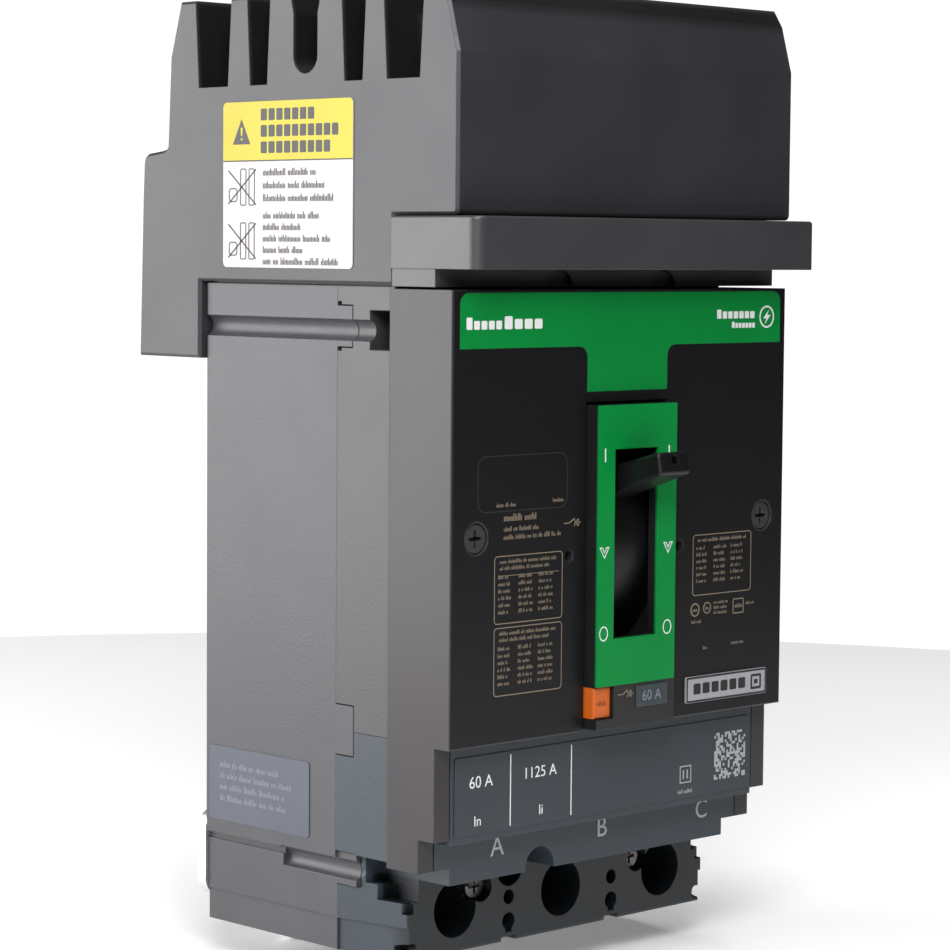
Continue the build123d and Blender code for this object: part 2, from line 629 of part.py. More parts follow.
with BuildPart() as trip_unit_housing:
    block((-half_body, half_body), (cover_front_y, base_front_y), (-60.0, -33.9))
    with BuildSketch(Plane.XY.offset(-half_height)):
        with BuildLine():
            Polyline((half_body - 0.7, base_front_y), (46.4, terminal_y), (-46.4, terminal_y),
                     (-half_body + 0.7, base_front_y), close=True)
        make_face()
    extrude(amount=half_height - 60.0)
    with BuildSketch(Plane.XY.offset(-half_height)):
        with BuildLine():
            Polyline((half_body - 1.3, base_front_y - 0.01), (60, base_front_y), (60, terminal_y - 1),
                     (45.6, terminal_y - 1), (45.6, terminal_y), close=True)
        make_face()
        mirror(about=Plane.YZ)
    extrude(amount=half_height + ridge_z, mode=Mode.SUBTRACT)
    block(around(0, panel_half), (panel_y, cover_front_y + 1), (panel_low_z - 1.2, panel_top_z - 0.3))
    block(around(0, panel_half), (ledge_y, cover_front_y + 1), (ledge_low_z, panel_low_z - 1.2))
    block(around(0, nose_half), (ledge_y, cover_front_y + 1), (nose_low_z, ledge_low_z))
    # hollow behind the panel and in front of the poles
    block(around(0, panel_half - 2.4), (panel_y + 2.2, cover_front_y + 2), (-52.4, -36.2),
          Mode.SUBTRACT)
    pole_bays((cover_front_y + 1.8, base_front_y + 1), (-58.4, -36.2))
    for side in sides:
        block(outward(side, half_body - 2.6, half_body + 1),
              (tongue_reach_mid - tongue_gap, base_front_y + 1),
              (tongue_mid[0] - tongue_gap, tongue_mid[1]), Mode.SUBTRACT)
        block(outward(side, half_body - 2.6, half_body + 1),
              (tongue_reach_low - tongue_gap, base_front_y + 1),
              (tongue_low[0] - tongue_gap, tongue_low[1] + tongue_gap), Mode.SUBTRACT)
        block(outward(side, nose_half, half_body + 1), (terminal_y - 1, pocket_rear_low),
              (-69.3, -60.0), Mode.SUBTRACT)
        block(outward(side, nose_half, half_body + 1), (pocket_rear_low - 1, -51.0), (-66.0, -60.0),
              Mode.SUBTRACT)
        rod_y(side * trip_screw_x, (terminal_y - 1, terminal_y + 4.0), trip_screw_z, 3.1,
              Mode.SUBTRACT)
        rod_y(side * trip_screw_x, (terminal_y - 1, base_front_y + 1), trip_screw_z, 1.4,
              Mode.SUBTRACT)
        rod_y(side * partitions[1], (terminal_y - 1, terminal_y + 5), -71.9, 1.6, Mode.SUBTRACT)
        rod_y(side * partitions[1], (terminal_y - 1, terminal_y + 4), -77.2, 1.9, Mode.SUBTRACT)
        block(around(side * partitions[1], 1.0), (terminal_y - 1, terminal_y + 2), (-79.6, -77.2),
              Mode.SUBTRACT)
        block(around(side * partitions[1], 2.2), (terminal_y - 1, terminal_y + 3),
              (-half_height - 1, -half_height + 0.9), Mode.SUBTRACT)
        rod_y(side * 45.0, (terminal_y - 1, terminal_y + 4), -79.4, 1.5, Mode.SUBTRACT)
        block(outward(side, 44.4, 47.4), (terminal_y - 1, terminal_y + 1.4), (-71.6, -69.2),
              Mode.SUBTRACT)
    side_channels((pocket_rear_low - 1, base_front_y + 1), channel_low_z, half_body + 0.1)
    for x in poles:
        rod_y(x, (terminal_y - 1, base_front_y + 1), terminal_hole_z, terminal_hole_radius,
              Mode.SUBTRACT)
    rod_y(mount_hole[0], (terminal_y - 1, base_front_y + 1), mount_hole[1], 3.8, Mode.SUBTRACT)
    rod_y(mount_hole[0], (ledge_y - 1, terminal_y), -63.9, notch_radius, Mode.SUBTRACT)
    rod_x((-46, 46), trip_bar_y, trip_bar_z, trip_bar_radius + 0.05, Mode.SUBTRACT)
    block((-11.6, -6.2), (-53.4, base_front_y + 1), (-37, -33), Mode.SUBTRACT)
trip_unit_housing.part.label = "trip_unit_housing"
export_step(trip_unit_housing.part, "parts/trip_unit_housing.step")

with BuildPart() as trip_unit_label:
    plate_on_front((-46.3, 46.3), (-53.3, -36.7), (panel_y - film, panel_y), 0.6)
trip_unit_label.part.label = "trip_unit_label"
export_step(trip_unit_label.part, "parts/trip_unit_label.step")

# ---- thermal-magnetic trip parts ----
strap_half = 4.6
strap_turn_z = (-58.0, -55.0)
lug_rear_y = -14.0
strap_rear_y = (-14.0, -11.5)

with BuildPart() as heater_straps:
    for x in poles:
        block(around(x, strap_half), load_bar_y, (strap_turn_z[0], load_bar_low_z))
        block(around(x, strap_half), (load_bar_y[0], strap_rear_y[1]), strap_turn_z)
        block(around(x, strap_half), strap_rear_y, (-half_height + wall, strap_turn_z[0]))
heater_straps.part.label = "heater_straps"
export_step(heater_straps.part, "parts/heater_straps.step")

with BuildPart() as bimetals:
    for x in poles:
        block(around(x, 3.0), (load_bar_y[0] - 2.6, load_bar_y[0] - 1.6), (-52.0, -36.5))
        block(around(x, 3.0), (load_bar_y[0] - 1.6, load_bar_y[0]), (-52.0, -48.5))
bimetals.part.label = "bimetals"
export_step(bimetals.part, "parts/bimetals.step")

yoke_half = 8.0
yoke_z = (-47.5, -37.0)

with BuildPart() as magnet_yokes:
    for x in poles:
        block(around(x, yoke_half), (load_bar_y[0] - 3.2, load_bar_y[1] + 3.4), yoke_z)
        block(around(x, yoke_half - 2.0), (load_bar_y[0] - 4, load_bar_y[1] + 1.6),
              (yoke_z[0] - 1, yoke_z[1] + 1), Mode.SUBTRACT)
magnet_yokes.part.label = "magnet_yokes"
export_step(magnet_yokes.part, "parts/magnet_yokes.step")

armature_y = armature_shaft_y - 0.7
armature_top_z = -44.0

with BuildPart() as armatures:
    for x in poles:
        block(around(x, yoke_half), (armature_y, armature_y + 1.4), (armature_shaft_z, armature_top_z))
    rod_x((-41.0, 41.0), armature_shaft_y, armature_shaft_z, armature_shaft_radius)
armatures.part.label = "armatures"
export_step(armatures.part, "parts/armatures.step")

lever_front_y = button_rod_end_y + 0.3

with BuildPart() as trip_bar:
    rod_x((-45.5, 45.5), trip_bar_y, trip_bar_z, trip_bar_radius)
    block((-10.4, -7.4), (lever_front_y, lever_front_y + 2.0), (trip_bar_z, rod_hole_z + 2.2))
    for x in poles:
        block(around(x, 2.0), (trip_bar_y, load_bar_y[0] - 4.2), around(trip_bar_z, 0.8))
trip_bar.part.label = "trip_bar"
export_step(trip_bar.part, "parts/trip_bar.step")

# ---- load terminals ----
lug_half = 8.5
lug_front_y = -36.0
lug_top_z, lug_low_z = -63.0, -79.0

with BuildPart() as lugs:
    for x in poles:
        block(around(x, lug_half), (lug_front_y, lug_rear_y), (lug_low_z, lug_top_z))
    fillet(lugs.edges().filter_by(Axis.Z), 1.2)
    for x in poles:
        rod_z(x, lug_wire_y, (lug_low_z - 1, lug_top_z + 1), lug_wire_radius, Mode.SUBTRACT)
        rod_y(x, (lug_front_y - 1, lug_wire_y), terminal_hole_z, 4.0, Mode.SUBTRACT)
lugs.part.label = "lugs"
export_step(lugs.part, "parts/lugs.step")

with BuildPart() as lug_screws:
    for x in poles:
        rod_y(x, (-45.0, lug_wire_y - lug_wire_radius - 0.6), terminal_hole_z, 4.0)
        with BuildSketch(Plane.XZ.offset(45.0)):
            with Locations((x, terminal_hole_z)):
                RegularPolygon(2.6, 6)
        extrude(amount=-4.0, mode=Mode.SUBTRACT)
lug_screws.part.label = "lug_screws"
export_step(lug_screws.part, "parts/lug_screws.step")

# ---- screws ----


def screw(x, z, head_y, head, length, shank, tip_y):
    """A cross-head screw along Y; head_y is its face, the tip may lie either way."""
    way = 1 if tip_y > head_y else -1
    rod_y(x, (head_y, head_y + way * length), z, head)
    rod_y(x, (head_y + way * length, tip_y), z, shank)
    for arm_x, arm_z in ((head * 0.62, head * 0.14), (head * 0.14, head * 0.62)):
        block(around(x, arm_x), (head_y - way, head_y + way * length * 0.55), around(z, arm_z),
              Mode.SUBTRACT)


with BuildPart() as trip_unit_screws:
    for side in sides:
        screw(side * trip_screw_x, trip_screw_z, terminal_y + 2.2, 2.7, 1.6, 1.2, -37.8)
trip_unit_screws.part.label = "trip_unit_screws"
export_step(trip_unit_screws.part, "parts/trip_unit_screws.step")

with BuildPart() as cover_screws:
    for side in sides:
        for z in (cover_screw_high_z, cover_screw_low_z):
            screw(side * cover_screw_x, z, cover_front_y + 0.2, 2.7, 1.8, 1.4, -32.4)
cover_screws.part.label = "cover_screws"
export_step(cover_screws.part, "parts/cover_screws.step")

with BuildPart() as quarter_turn_screw_left:
    screw(-turn_screw_x, turn_screw_z, front_y + 0.3, screw_head, 2.6, 1.8, cover_front_y + 2.2)
quarter_turn_screw_left.part.label = "quarter_turn_screw_left"
export_step(quarter_turn_screw_left.part, "parts/quarter_turn_screw_left.step")

with BuildPart() as quarter_turn_screw_right:
    screw(turn_screw_x, turn_screw_z, front_y + 0.3, screw_head, 2.6, 1.8, cover_front_y + 2.2)
quarter_turn_screw_right.part.label = "quarter_turn_screw_right"
export_step(quarter_turn_screw_right.part, "parts/quarter_turn_screw_right.step")

# ---- jaw housing, over the line end ----
cavity_half = half_hidden + 0.2
cavity_top_z = 100.0
leg_front_y = 0.4
leg_wall = 2.6
rear_plate_half = 46.8
rear_plate_z = (48.7, 83.8)
shield_top_z, shield_low_z = 75.0, 64.2
jaw_poles = tuple(zip(poles, (slot_middle_y + step * slot_pitch for step in (-2, 0, 2))))


def slot_shape(number):
    """Half widths at the floor and the mouth: wide busbar slots, narrow barrier slots."""
    return (2.8, 3.9) if number % 2 else (4.95, 6.2)


with BuildPart() as jaw_housing:
    with BuildSketch(Plane.YZ.offset(-half_front)):
        with BuildLine():
            Polyline((housing_front_y, shield_top_z + 0.2), (housing_front_y, 108.0), (-78.4, 118.2),
                     (-76.0, housing_top_z), (7.3, housing_top_z), (10.9, 110.0), (11.9, 90.6),
                     (12.5, 89.8), (13.6, 89.5), (18.9, 88.9), (20.0, 88.2), (20.4, 86.9),
                     (20.8, 79.0), (leg_rear_y, leg_low_z),
                     (leg_front_y, leg_low_z), (leg_front_y, housing_low_z),
                     (-62.3, housing_low_z), (-62.3, shield_top_z + 0.2), close=True)
        make_face()
    extrude(amount=front_width)
    fillet(jaw_housing.edges().filter_by(Axis.X).group_by(Axis.Y)[0], 1.2)
    outline_faces = jaw_housing.faces().filter_by(Axis.X)
    chamfer(outline_faces.sort_by(Axis.X)[0].edges() + outline_faces.sort_by(Axis.X)[-1].edges(), 0.6)
    block((-cavity_half, cavity_half), (-78.6, leg_front_y), (0, half_height + 0.3), Mode.SUBTRACT)
    block((-cavity_half, cavity_half), (-78.6, 8.0), (half_height + 0.3, cavity_top_z), Mode.SUBTRACT)
    block((-cavity_half, cavity_half), (leg_front_y + leg_wall, leg_rear_y - 2.6),
          (leg_low_z + leg_wall, 86.0), Mode.SUBTRACT)
    block((-rear_plate_half - 0.2, rear_plate_half + 0.2), (leg_rear_y - 4, leg_rear_y + 1),
          (rear_plate_z[0] - 0.2, rear_plate_z[1] + 0.2), Mode.SUBTRACT)
    for side in sides:
        for z in (rear_plate_z[0] + 3.6, rear_plate_z[1] - 3.6):
            rod_y(side * 42.8, (leg_front_y + 1, leg_rear_y - 2.6), z, 3.2)
            rod_y(side * 42.8, (leg_front_y + 6, leg_rear_y), z, 1.2, Mode.SUBTRACT)
        rod_y(side * partitions[1], (leg_front_y - 1, leg_front_y + leg_wall + 1), housing_screw_z, 1.7,
              Mode.SUBTRACT)
    for number in range(5):
        slot_y = slot_middle_y + (number - 2) * slot_pitch
        floor, mouth = slot_shape(number)
        with BuildSketch(Plane.YZ.offset(-half_front - 1)):
            if number == 2:
                with Locations((slot_y, slot_floor_z + 5.8)):
                    Circle(3.85)
                with BuildLine():
                    Polyline((slot_y - 3.85, slot_floor_z + 5.8), (slot_y + 3.85, slot_floor_z + 5.8),
                             (slot_y + 3.85, 117.5), (slot_y + 5.2, housing_top_z + 1),
                             (slot_y - 5.2, housing_top_z + 1), (slot_y - 3.85, 117.5), close=True)
                make_face()
            else:
                with BuildLine():
                    Polyline((slot_y - floor, slot_floor_z), (slot_y + floor, slot_floor_z),
                             (slot_y + mouth, housing_top_z + 1), (slot_y - mouth, housing_top_z + 1),
                             close=True)
                make_face()
        extrude(amount=front_width + 2, mode=Mode.SUBTRACT)
    for x, slot_y in jaw_poles:
        block(around(x, 8.0), around(slot_y, 5.3), (cavity_top_z - 1, 119.0), Mode.SUBTRACT)
jaw_housing.part.label = "jaw_housing"
export_step(jaw_housing.part, "parts/jaw_housing.step")

with BuildPart() as jaw_housing_rear:
    plate_on_front((-rear_plate_half, rear_plate_half), rear_plate_z,
                   (leg_rear_y - 2.6, leg_rear_y - 0.6))
    for side in sides:
        for z in (rear_plate_z[0] + 3.6, rear_plate_z[1] - 3.6):
            rod_y(side * 42.8, (leg_rear_y - 3, leg_rear_y), z, 1.4, Mode.SUBTRACT)
            rod_y(side * 42.8, (leg_rear_y - 1.7, leg_rear_y), z, 2.7, Mode.SUBTRACT)
jaw_housing_rear.part.label = "jaw_housing_rear"
export_step(jaw_housing_rear.part, "parts/jaw_housing_rear.step")

with BuildPart() as jaw_housing_screws:
    for side in sides:
        for z in (rear_plate_z[0] + 3.6, rear_plate_z[1] - 3.6):
            screw(side * 42.8, z, leg_rear_y - 0.8, 2.6, 0.9, 1.2, 7.4)
        screw(side * partitions[1], housing_screw_z, leg_front_y + leg_wall + 1.8, 3.0, 1.8, 1.5, -11.0)
jaw_housing_screws.part.label = "jaw_housing_screws"
export_step(jaw_housing_screws.part, "parts/jaw_housing_screws.step")

# ---- line shield: the lip below the hood ----
with BuildPart() as line_shield:
    block((-53.0, 53.0), (-88.0, -62.6), (shield_low_z, shield_top_z))
    block((-52.6, 52.6), (-75.5, -62.6), (front_top_z + 0.5, shield_low_z))
    fillet(line_shield.edges().filter_by(Axis.Z).group_by(Axis.Y)[0], 2.6)
    fillet(line_shield.edges().group_by(Axis.Z)[-1], 0.7)
    block((-50.4, 50.4), (-85.4, -61), (shield_low_z + 2.2, shield_top_z - 2.4), Mode.SUBTRACT)
    block((-50.0, 50.0), (-73.0, -61), (front_top_z, shield_low_z + 3), Mode.SUBTRACT)
    for side in sides:
        rod_y(side * partitions[1], (-76.5, -74.3), front_top_z + 0.4, 3.8, Mode.SUBTRACT)
line_shield.part.label = "line_shield"
export_step(line_shield.part, "parts/line_shield.step")

# ---- line conductors and bus jaws ----
blade = 1.2
jaw_low_z, jaw_grip_z, jaw_top_z = 90.0, 111.0, 117.5
tang_top_z = 98.0

with BuildPart() as line_conductors:
    for x, slot_y in jaw_poles:
        reach = (min(slot_y - bus_half, line_bar_y[0]), max(slot_y + bus_half, line_bar_y[1]))
        block(around(x, bar_half), reach, (line_bar_top_z, line_bar_top_z + 3.0))
        block(around(x, bar_half + 1.0), around(slot_y, bus_half), (line_bar_top_z, tang_top_z))
line_conductors.part.label = "line_conductors"
export_step(line_conductors.part, "parts/line_conductors.step")

with BuildPart() as bus_jaws:
    for x, slot_y in jaw_poles:
        for way in sides:
            blade_y = sorted(slot_y + way * offset for offset in (bus_half, bus_half + blade))
            block(around(x, 6.4), blade_y, (jaw_low_z, jaw_top_z))
    fillet(bus_jaws.edges().filter_by(Axis.Y).group_by(Axis.Z)[-1], 1.6)
bus_jaws.part.label = "bus_jaws"
export_step(bus_jaws.part, "parts/bus_jaws.step")

with BuildPart() as jaw_springs:
    for x, slot_y in jaw_poles:
        for way in sides:
            outer = bus_half + blade
            block(around(x, 3.0), sorted(slot_y + way * offset for offset in (outer, outer + 0.7)),
                  (jaw_low_z + 1.0, jaw_grip_z))
jaw_springs.part.label = "jaw_springs"
export_step(jaw_springs.part, "parts/jaw_springs.step")

# ---- side stickers ----
with BuildPart() as caution_label:
    sticker((-half_front - film, -half_front), (-50.0, -7.9), (63.9, 99.5), 1.2)
caution_label.part.label = "caution_label"
export_step(caution_label.part, "parts/caution_label.step")

with BuildPart() as side_label:
    sticker((-half_body - film, -half_body), (-35.3, -1.9), (-58.5, -42.0), 0.8)
side_label.part.label = "side_label"
export_step(side_label.part, "parts/side_label.step")

# ---- mounting bracket behind the load end ----
bracket_thick = 2.5
bracket_z = (-76.6, -57.4)
foot_half = 28.0
foot_low_z = -90.0
foot_hole_z = -84.5

with BuildPart() as mounting_bracket:
    with BuildSketch(Plane.XZ.offset(-bracket_thick)):
        with Locations((0, sum(bracket_z) / 2)):
            RectangleRounded(2 * half_body, bracket_z[1] - bracket_z[0], 4.0)
        with Locations((0, (foot_low_z + bracket_z[1]) / 2)):
            RectangleRounded(2 * foot_half, bracket_z[1] - foot_low_z, 4.0)
        with Locations(mount_hole):
            Circle(2.8, mode=Mode.SUBTRACT)
        with Locations((0, foot_hole_z)):
            Circle(2.75, mode=Mode.SUBTRACT)
        with Locations((-bracket_screw_x, bracket_screw_z), (bracket_screw_x, bracket_screw_z)):
            Circle(1.7, mode=Mode.SUBTRACT)
    extrude(amount=bracket_thick + seat)
    for side in sides:
        rod_y(side * bracket_screw_x, (bracket_thick - 1.5, bracket_thick + 1), bracket_screw_z, 3.2,
              Mode.SUBTRACT)
mounting_bracket.part.label = "mounting_bracket"
export_step(mounting_bracket.part, "parts/mounting_bracket.step")

with BuildPart() as bracket_screws:
    for side in sides:
        screw(side * bracket_screw_x, bracket_screw_z, bracket_thick - 0.1, 3.0, 1.4, 1.4, -7.4)
bracket_screws.part.label = "bracket_screws"
export_step(bracket_screws.part, "parts/bracket_screws.step")
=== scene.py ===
import math
import random

import bpy
from mathutils import Matrix, Vector


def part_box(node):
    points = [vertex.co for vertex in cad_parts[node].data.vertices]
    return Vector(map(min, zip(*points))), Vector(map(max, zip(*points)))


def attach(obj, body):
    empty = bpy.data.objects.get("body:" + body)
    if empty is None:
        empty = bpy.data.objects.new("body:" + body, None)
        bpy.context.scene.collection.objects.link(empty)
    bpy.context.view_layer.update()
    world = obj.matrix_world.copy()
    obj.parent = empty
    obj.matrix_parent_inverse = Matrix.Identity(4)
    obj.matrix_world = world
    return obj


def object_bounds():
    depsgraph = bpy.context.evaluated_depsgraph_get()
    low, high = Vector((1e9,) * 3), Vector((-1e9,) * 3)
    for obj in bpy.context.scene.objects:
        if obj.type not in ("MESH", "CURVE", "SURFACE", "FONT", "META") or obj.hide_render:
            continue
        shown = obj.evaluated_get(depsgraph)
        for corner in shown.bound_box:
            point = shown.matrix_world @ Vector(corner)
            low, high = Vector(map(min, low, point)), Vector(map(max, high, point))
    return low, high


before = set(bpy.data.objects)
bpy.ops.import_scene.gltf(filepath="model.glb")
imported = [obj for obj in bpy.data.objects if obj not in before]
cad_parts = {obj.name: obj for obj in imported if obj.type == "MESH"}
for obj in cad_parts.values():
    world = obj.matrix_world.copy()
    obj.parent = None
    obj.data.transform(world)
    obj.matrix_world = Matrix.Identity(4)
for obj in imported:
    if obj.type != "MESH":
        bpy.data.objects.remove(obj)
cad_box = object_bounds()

# A three-pole molded case circuit breaker on a pale floor, seen from its left front.
# Printed shapes are laid out in millimetres on the face that carries them.

MM = 0.001
INK = 0.03  # thickness of printed ink, mm
SEED = 7
rng = random.Random(SEED)


# ---- material nodes ----
class Nodes:
    """A material's node tree, with short calls for the nodes used here."""

    def __init__(self, name):
        self.material = bpy.data.materials.new(name)
        self.material.use_nodes = True
        self.tree = self.material.node_tree
        self.shader = self.tree.nodes["Principled BSDF"]
        self.place = self.tree.nodes.new("ShaderNodeTexCoord").outputs["Object"]

    def link(self, source, target):
        self.tree.links.new(source, target)

    def noise(self, scale, detail=3.0, roughness=0.55, stretch=None):
        """Noise of a given scale per metre, drawn out along an axis if stretch is given."""
        node = self.tree.nodes.new("ShaderNodeTexNoise")
        node.inputs["Scale"].default_value = scale
        node.inputs["Detail"].default_value = detail
        node.inputs["Roughness"].default_value = roughness
        where = self.place
        if stretch:
            mapping = self.tree.nodes.new("ShaderNodeMapping")
            mapping.inputs["Scale"].default_value = stretch
            self.link(where, mapping.inputs["Vector"])
            where = mapping.outputs["Vector"]
        self.link(where, node.inputs["Vector"])
        return node.outputs["Fac"]

    def cells(self, scale):
        """Rounded cells, like the grain etched in a mold."""
        node = self.tree.nodes.new("ShaderNodeTexVoronoi")
        node.feature = "SMOOTH_F1"
        node.inputs["Scale"].default_value = scale
        self.link(self.place, node.inputs["Vector"])
        return node.outputs["Distance"]

    def spread(self, value, low, high, from_low=0.3, from_high=0.7):
        """The value's middle range stretched between low and high."""
        node = self.tree.nodes.new("ShaderNodeMapRange")
        node.inputs["From Min"].default_value = from_low
        node.inputs["From Max"].default_value = from_high
        node.inputs["To Min"].default_value = low
        node.inputs["To Max"].default_value = high
        self.link(value, node.inputs["Value"])
        return node.outputs["Result"]

    def within(self, low, high, soft=0.0004):
        """1 inside a box, 0 outside it, with a soft edge."""
        parts = self.tree.nodes.new("ShaderNodeSeparateXYZ")
        self.link(self.place, parts.inputs["Vector"])
        inside = None
        for axis, bottom, top in zip("XYZ", low, high):
            rise = self.spread(parts.outputs[axis], 0.0, 1.0, bottom - soft, bottom + soft)
            fall = self.spread(parts.outputs[axis], 1.0, 0.0, top - soft, top + soft)
            both = self.join(rise, fall, "MULTIPLY")
            inside = both if inside is None else self.join(inside, both, "MULTIPLY")
        return inside

    def mix(self, factor, first, second):
        node = self.tree.nodes.new("ShaderNodeMix")
        node.data_type = "RGBA"
        self.link(factor, node.inputs["Factor"])
        for socket, value in ((node.inputs["A"], first), (node.inputs["B"], second)):
            if isinstance(value, tuple):
                socket.default_value = (*value, 1.0)
            else:
                self.link(value, socket)
        return node.outputs["Result"]

    def join(self, first, second, operation="ADD"):
        node = self.tree.nodes.new("ShaderNodeMath")
        node.operation = operation
        for socket, value in zip(node.inputs, (first, second)):
            if isinstance(value, float):
                socket.default_value = value
            else:
                self.link(value, socket)
        return node.outputs["Value"]

    def bump(self, heights, radius):
        """Relief from (value, depth in metres) pairs, over edges rounded to a radius."""
        bevel = self.tree.nodes.new("ShaderNodeBevel")
        bevel.samples = 4
        bevel.inputs["Radius"].default_value = radius
        normal = bevel.outputs["Normal"]
        for value, depth in heights:
            node = self.tree.nodes.new("ShaderNodeBump")
            node.inputs["Strength"].default_value = 1.0
            node.inputs["Distance"].default_value = depth
            self.link(value, node.inputs["Height"])
            self.link(normal, node.inputs["Normal"])
            normal = node.outputs["Normal"]
        self.link(normal, self.shader.inputs["Normal"])
        return bevel.outputs["Normal"]

    def edges(self, rounded_normal):
        """Near 1 on sharp edges, 0 on flats."""
        geometry = self.tree.nodes.new("ShaderNodeNewGeometry")
        node = self.tree.nodes.new("ShaderNodeVectorMath")
        node.operation = "DOT_PRODUCT"
        self.link(rounded_normal, node.inputs[0])
        self.link(geometry.outputs["True Normal"], node.inputs[1])
        return self.spread(node.outputs["Value"], 1.0, 0.0, 0.86, 0.985)


def shade(colour, factor):
    return tuple(min(1.0, channel * factor) for channel in colour)


def plastic(name, colour, roughness=0.42, grain=0.00040, relief=0.000027, mottle=0.10, wear=2.2,
            specular=0.5, rounding=0.0003, painted_shade_box=None, painted_shade_tone=0.35):
    """Molded plastic: etched grain, slight tone changes, edges rubbed paler, and painted shade darkening a
    given box where a recess lies.
    """
    made = Nodes(name)
    broad = made.noise(38.0, 4.0)
    fine = made.noise(1.0 / grain, 2.0)
    cells = made.cells(0.7 / grain)
    rounded = made.bump(((fine, relief), (cells, relief * 0.8)), rounding)
    tone = made.mix(made.spread(broad, 0.0, 1.0), shade(colour, 1 - mottle), shade(colour, 1 + mottle))
    speck = made.mix(made.spread(fine, 0.0, 0.35, 0.45, 0.75), tone, shade(colour, 1.35))
    rub = made.join(made.edges(rounded), made.spread(made.noise(420.0), 0.15, 0.75), "MULTIPLY")
    wear_and_painted_shade = made.mix(rub, speck, shade(colour, wear))
    # painted shade: inside the box the colour darkens to the given tone, standing in for the shade deep in a
    # recess
    if painted_shade_box:
        wear_and_painted_shade = made.mix(made.within(*painted_shade_box), wear_and_painted_shade, shade(colour, painted_shade_tone))
    made.link(wear_and_painted_shade, made.shader.inputs["Base Color"])
    made.link(made.spread(made.join(broad, fine), roughness - 0.05, roughness + 0.07, 0.7, 1.3),
              made.shader.inputs["Roughness"])
    made.shader.inputs["Specular IOR Level"].default_value = specular
    return made.material


def printed_film(name, colour, roughness=0.33, specular=0.5, mottle=0.05):
    """Smooth film over print: a faint orange peel and fine specks."""
    made = Nodes(name)
    peel = made.noise(700.0, 2.0)
    specks = made.noise(1900.0, 3.0)
    made.bump(((peel, 0.000006), (specks, 0.000003)), 0.00012)
    made.link(made.mix(made.spread(made.noise(55.0), 0.0, 1.0), shade(colour, 1 - mottle),
                       shade(colour, 1 + mottle)), made.shader.inputs["Base Color"])
    made.link(made.spread(specks, roughness - 0.02, roughness + 0.05), made.shader.inputs["Roughness"])
    made.shader.inputs["Specular IOR Level"].default_value = specular
    return made.material


def metal(name, colour, roughness=0.34, stretch=(1.0, 1.0, 9.0), stain=0.22, metallic=1.0):
    """Rolled or plated metal: drawn-out brush marks, stains and bright edges."""
    made = Nodes(name)
    brush = made.noise(1500.0, 3.0, stretch=stretch)
    clouds = made.noise(120.0, 5.0, 0.62)
    rounded = made.bump(((brush, 0.000008), (clouds, 0.000012)), 0.00022)
    tone = made.mix(made.spread(clouds, 0.0, 1.0), shade(colour, 1 - stain), shade(colour, 1 + stain * 0.4))
    made.link(made.mix(made.edges(rounded), tone, shade(colour, 1.3)), made.shader.inputs["Base Color"])
    made.link(made.spread(brush, roughness - 0.07, roughness + 0.12), made.shader.inputs["Roughness"])
    made.shader.inputs["Metallic"].default_value = metallic
    return made.material


def fibre(name, colour):
    """Pressed fibre board: a matt face of short crossed fibres."""
    made = Nodes(name)
    threads = made.noise(2600.0, 3.0, stretch=(1.0, 0.25, 1.0))
    crossed = made.noise(2600.0, 3.0, stretch=(1.0, 1.0, 0.25))
    made.bump(((threads, 0.00003), (crossed, 0.00003)), 0.0001)
    made.link(made.mix(made.spread(made.join(threads, crossed), 0.0, 1.0, 0.7, 1.3), shade(colour, 0.7),
                       shade(colour, 1.2)), made.shader.inputs["Base Color"])
    made.link(made.spread(threads, 0.7, 0.9), made.shader.inputs["Roughness"])
    return made.material


# ---- finishes ----
body_grey = plastic("body_grey", (0.046, 0.046, 0.052), roughness=0.40)
cover_grey = plastic("cover_grey", (0.042, 0.040, 0.044), roughness=0.40)
front_grey = plastic("front_grey", (0.030, 0.0265, 0.029), roughness=0.33, relief=0.000006, wear=3.4,
                     specular=0.36)
# trip_blue carries painted shade: the terminal holes and the space behind the terminal front are darkened to
# stand in for their shade
trip_blue = plastic("trip_blue", (0.027, 0.037, 0.047), roughness=0.40, wear=2.6, specular=0.45,
                    painted_shade_box=((-0.0462, -0.0625, -0.0812), (0.0462, -0.0440, -0.0645)), painted_shade_tone=0.2)
# hood_grey carries painted shade: the inside of the jaw housing's hood is darkened to stand in for its shade
hood_grey = plastic("hood_grey", (0.027, 0.027, 0.031), roughness=0.42, wear=2.6,
                    painted_shade_box=((-0.0514, -0.0785, 0.1024), (0.0514, 0.0060, 0.1214)), painted_shade_tone=0.2)
shield_grey = plastic("shield_grey", (0.036, 0.036, 0.040), roughness=0.40, specular=0.62, wear=2.6)
frame_black = plastic("frame_black", (0.010, 0.010, 0.011), roughness=0.36, relief=0.000010)
# handle_black carries painted shade: the handle is darkened where it sits back inside the escutcheon window
handle_black = plastic("handle_black", (0.005, 0.005, 0.006), roughness=0.34, relief=0.000012, wear=3.0,
                       specular=0.35, painted_shade_box=((-0.0115, -0.0820, -0.0450), (0.0115, -0.0300, 0.0500)),
                       painted_shade_tone=0.3)
button_orange = plastic("button_orange", (0.56, 0.11, 0.010), roughness=0.34, relief=0.000006, wear=1.2)
plug_grey = plastic("plug_grey", (0.030, 0.042, 0.047), roughness=0.34, relief=0.000006, wear=1.6)
shaft_red = plastic("shaft_red", (0.16, 0.035, 0.02), roughness=0.5, wear=1.5)
screw_dark = plastic("screw_dark", (0.035, 0.032, 0.034), roughness=0.30, relief=0.000008, wear=3.0)
film_black = printed_film("film_black", (0.007, 0.007, 0.008), specular=0.27)
film_panel = printed_film("film_panel", (0.030, 0.035, 0.045), roughness=0.30, specular=0.4)
film_green = printed_film("film_green", (0.001, 0.215, 0.038), specular=0.3)
